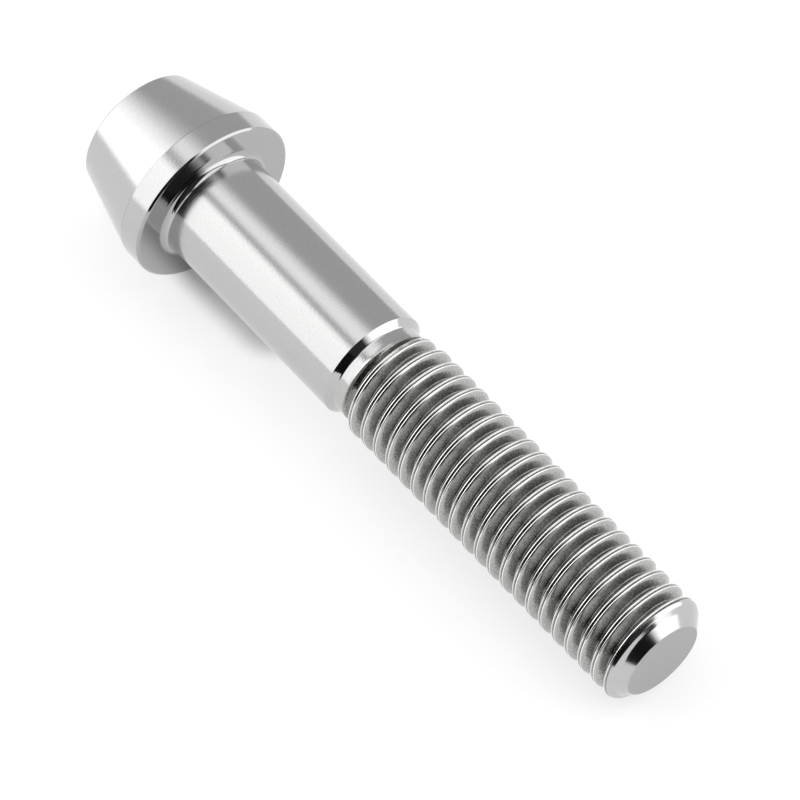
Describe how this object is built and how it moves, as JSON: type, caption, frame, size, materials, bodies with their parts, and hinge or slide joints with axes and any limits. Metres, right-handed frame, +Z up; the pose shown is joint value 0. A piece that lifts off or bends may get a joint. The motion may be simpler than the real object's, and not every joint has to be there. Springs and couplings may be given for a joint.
{
  "type": "tapered socket head cap screw",
  "caption": "Cap screw with a tapered head, hexagon socket, plain shank and rolled right-hand thread, for clamping parts with a hexagon key.",
  "frame": {"origin": "middle of the lying screw's box, on the surface that it lies on", "axes": "+X along the screw from head to tip, level with the surface; +Y across it; +Z up"},
  "size_m": [0.0532, 0.0126, 0.0127],
  "materials": {
    "bright_metal": "polished"
  },
  "bodies": {
    "root": {"cap_screw": "bright_metal"}
  },
  "joints": []
}
